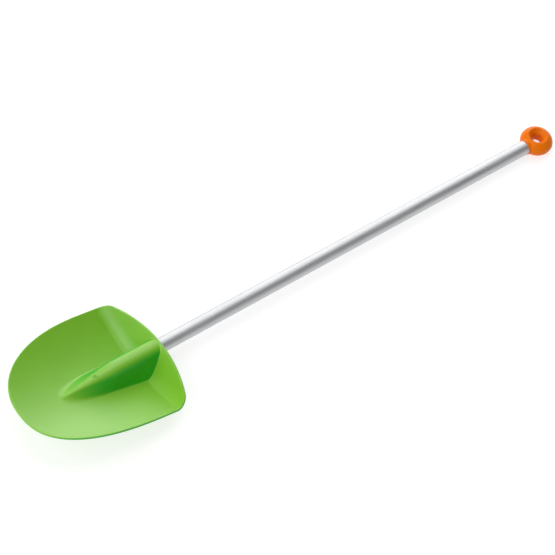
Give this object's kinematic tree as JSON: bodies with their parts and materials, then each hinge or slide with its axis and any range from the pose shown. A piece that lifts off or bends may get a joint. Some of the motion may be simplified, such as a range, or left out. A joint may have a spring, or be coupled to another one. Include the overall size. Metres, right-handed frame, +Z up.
{
  "type": "scoop shovel",
  "caption": "Small rigid scoop shovel: moulded scoop with a socket ridge, round tube handle and a ball knob with a hang hole.",
  "frame": {"origin": "middle of the box round the whole shovel, on the surface it lies on", "axes": "+X along the handle from the scoop to the knob, +Y to the left of the scoop seen from the handle's end above, +Z up out of the scoop"},
  "size_m": [0.7038, 0.1468, 0.0387],
  "materials": {
    "scoop_plastic": "satin moulded green plastic",
    "tube_aluminium": "drawn, fine satin grain along the tube",
    "knob_plastic": "smooth moulded orange plastic",
    "rivet_aluminium": "plain, slightly dull",
    "rivet_steel": "broken end of the mandrel, dull"
  },
  "bodies": {
    "root": {"blade": "scoop_plastic", "handle_tube": "tube_aluminium", "knob": "knob_plastic", "rivet_body": "rivet_aluminium", "rivet_mandrel": "rivet_steel"}
  },
  "joints": []
}
